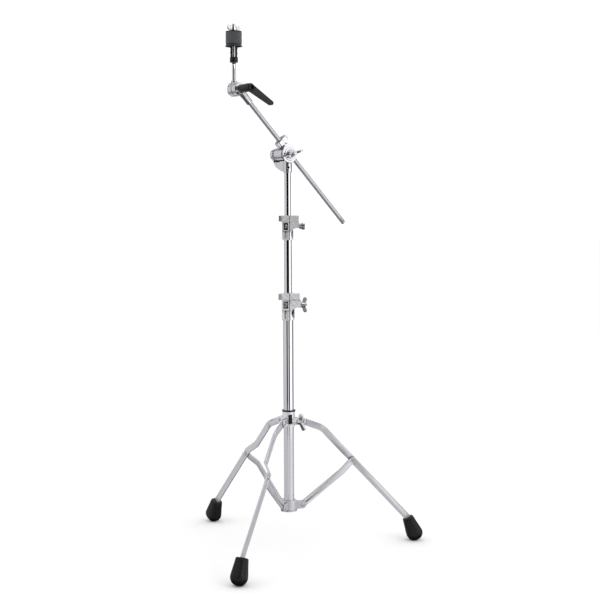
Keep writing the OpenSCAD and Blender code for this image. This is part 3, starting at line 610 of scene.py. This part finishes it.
def floor():
    """A pale floor. Reflections look past it, into the studio's grey sweep."""
    mesh = bpy.data.meshes.new("floor")
    reach = 30
    mesh.from_pydata([(-reach, -reach, 0), (reach, -reach, 0), (reach, reach, 0),
                      (-reach, reach, 0)], [], [(0, 1, 2, 3)])
    sheet = bpy.data.objects.new("floor", mesh)
    bpy.context.scene.collection.objects.link(sheet)
    sheet.location.z = -0.0004  # just under the feet, so that no faces coincide
    material, nodes, links, shader = new_material("floor")
    shader.inputs["Base Color"].default_value = (0.97, 0.97, 0.97, 1)
    shader.inputs["Roughness"].default_value = 1.0
    shader.inputs["Specular IOR Level"].default_value = 0.0
    mesh.materials.append(material)
    sheet.visible_glossy = False


def card(name, azimuth_low, azimuth_high, low, high, colour, foot_colour=None):
    """A curved studio card that only shows in reflections. Azimuths are in degrees,
    seen from above, from the camera's side of the pole towards its right. A card that
    starts below the floor fades there to its foot colour."""
    steps, distance = 12, 2.6
    fade_low, fade_high = -0.26, -0.06
    rows = []
    for z in (low, high):
        for i in range(steps + 1):
            angle = math.radians(azimuth_low + (azimuth_high - azimuth_low) * i / steps)
            rows.append((math.sin(angle) * distance, -math.cos(angle) * distance, z))
    mesh = bpy.data.meshes.new(name)
    faces = [(i, i + 1, steps + 2 + i, steps + 1 + i) for i in range(steps)]
    mesh.from_pydata(rows, [], faces)
    sheet = bpy.data.objects.new(name, mesh)
    bpy.context.scene.collection.objects.link(sheet)
    material = bpy.data.materials.new(name)
    material.use_nodes = True
    nodes, links = material.node_tree.nodes, material.node_tree.links
    nodes.clear()
    glow = nodes.new("ShaderNodeEmission")
    place = nodes.new("ShaderNodeTexCoord")
    split = nodes.new("ShaderNodeSeparateXYZ")
    links.new(place.outputs["Object"], split.inputs[0])
    level = nodes.new("ShaderNodeMapRange")
    level.inputs["From Min"].default_value = fade_low
    level.inputs["From Max"].default_value = fade_high
    links.new(split.outputs["Z"], level.inputs["Value"])
    tones = ramp_node(nodes, links, level.outputs["Result"],
                      [(0.0, foot_colour or colour), (1.0, colour)])
    links.new(tones.outputs["Color"], glow.inputs["Color"])
    output = nodes.new("ShaderNodeOutputMaterial")
    links.new(glow.outputs[0], output.inputs["Surface"])
    mesh.materials.append(material)
    sheet.visible_camera = False
    sheet.visible_diffuse = False
    sheet.visible_shadow = False
    sheet.visible_transmission = False


BELOW = -1.6  # the cards run on below the floor, as the sweep's reflections do


def studio():
    """A white room. Reflections see it darker at the left and the back, black underfoot,
    and see the black cards either side of the camera that draw the tubes' dark stripes."""
    world = bpy.data.worlds.new("studio")
    bpy.context.scene.world = world
    world.use_nodes = True
    nodes, links = world.node_tree.nodes, world.node_tree.links
    nodes.clear()
    white = nodes.new("ShaderNodeBackground")
    white.inputs["Color"].default_value = (1, 1, 1, 1)
    white.inputs["Strength"].default_value = 1.04
    place = nodes.new("ShaderNodeTexCoord")
    split = nodes.new("ShaderNodeSeparateXYZ")
    links.new(place.outputs["Generated"], split.inputs[0])
    side = nodes.new("ShaderNodeMapRange")
    side.inputs["From Min"].default_value = -1
    side.inputs["From Max"].default_value = 1
    links.new(split.outputs["X"], side.inputs["Value"])
    tones = ramp_node(nodes, links, side.outputs["Result"],
                      [(0.0, (0.60, 0.60, 0.62)), (0.42, (0.72, 0.71, 0.74)),
                       (0.62, (0.95, 0.95, 0.96)), (1.0, (0.80, 0.80, 0.82))])
    height = nodes.new("ShaderNodeMapRange")
    height.inputs["From Min"].default_value = -1
    height.inputs["From Max"].default_value = 1
    links.new(split.outputs["Z"], height.inputs["Value"])
    ground = ramp_node(nodes, links, height.outputs["Result"],
                       [(0.12, 0.02), (0.24, 0.10), (0.38, 0.85), (0.44, 1.0)])
    shaded = nodes.new("ShaderNodeVectorMath")
    shaded.operation = "MULTIPLY"
    links.new(tones.outputs["Color"], shaded.inputs[0])
    links.new(ground.outputs["Color"], shaded.inputs[1])
    room = nodes.new("ShaderNodeBackground")
    room.inputs["Strength"].default_value = 1.05
    links.new(shaded.outputs[0], room.inputs["Color"])
    path = nodes.new("ShaderNodeLightPath")
    mix = nodes.new("ShaderNodeMixShader")
    output = nodes.new("ShaderNodeOutputWorld")
    links.new(path.outputs["Is Glossy Ray"], mix.inputs["Fac"])
    links.new(white.outputs[0], mix.inputs[1])
    links.new(room.outputs[0], mix.inputs[2])
    links.new(mix.outputs[0], output.inputs["Surface"])
    black, sweep = (0.004, 0.004, 0.005), (0.56, 0.55, 0.58)
    card("card_left", -42, -15, BELOW, 3.2, black, sweep)
    card("card_right", 4, 30, BELOW, 3.2, black, sweep)
    card("card_between", -15, 4, 0.385, 3.2, black)
    card("card_top", 30, 62, 1.72, 3.2, black)
    card("card_window", 31, 88, BELOW, 3.2, (1.25, 1.25, 1.25), (0.8, 0.8, 0.82))
    card("card_edge", 95, 136, BELOW, 3.2, (0.10, 0.10, 0.11), (0.40, 0.39, 0.41))
    card("card_far_left", -172, -128, BELOW, 3.2, (0.30, 0.30, 0.32), sweep)


def key_light():
    """A soft lamp at the camera's upper right."""
    light = bpy.data.lights.new("key", "AREA")
    light.energy = 9
    light.size = 1.4
    lamp = bpy.data.objects.new("key", light)
    bpy.context.scene.collection.objects.link(lamp)
    lamp.location = (1.8, -1.9, 2.4)
    aim = Vector((0, 0, 0.7)) - lamp.location
    lamp.rotation_euler = aim.to_track_quat("-Z", "Y").to_euler()


def camera():
    """The viewpoint: level with the upper clamp, a little right of the pole."""
    place = (0.0286, -2.846, 0.8327)
    pitch, roll = math.radians(4.47), math.radians(-0.23)
    data = bpy.data.cameras.new("camera")
    data.sensor_width = 36
    data.lens = 70.54
    data.clip_end = 100
    eye = bpy.data.objects.new("camera", data)
    bpy.context.scene.collection.objects.link(eye)
    right = Vector((1, 0, 0))
    down = Vector((0, -math.sin(pitch), -math.cos(pitch)))
    forward = Vector((0, math.cos(pitch), -math.sin(pitch)))
    right_rolled = right * math.cos(roll) - down * math.sin(roll)
    down_rolled = right * math.sin(roll) + down * math.cos(roll)
    turn = Matrix((right_rolled, -down_rolled, -forward)).transposed().to_4x4()
    eye.matrix_world = Matrix.Translation(place) @ turn
    bpy.context.scene.camera = eye
    bpy.context.scene.view_settings.view_transform = "Standard"


# ---------- the stand ----------

for casting, (voxel_size, relax_passes) in CASTINGS.items():
    rounded_copy(casting, voxel_size, relax_passes)
boom_arm()
cymbal_rod()
felt_washer("lower_felt", 3.0)
felt_washer("upper_felt", 11.0)
for leg_side in ("right", "left", "front"):
    brace_joint = "leg_fold" if leg_side == "right" else "brace_%s_turn" % leg_side
    leg_axis = joint_axis(brace_joint)
    foot(leg_side, math.atan2(leg_axis.x, -leg_axis.y))
for cad_node in NODES:
    if not NODES[cad_node].hide_render:
        carry_over(cad_node)

floor()
studio()
key_light()
camera()
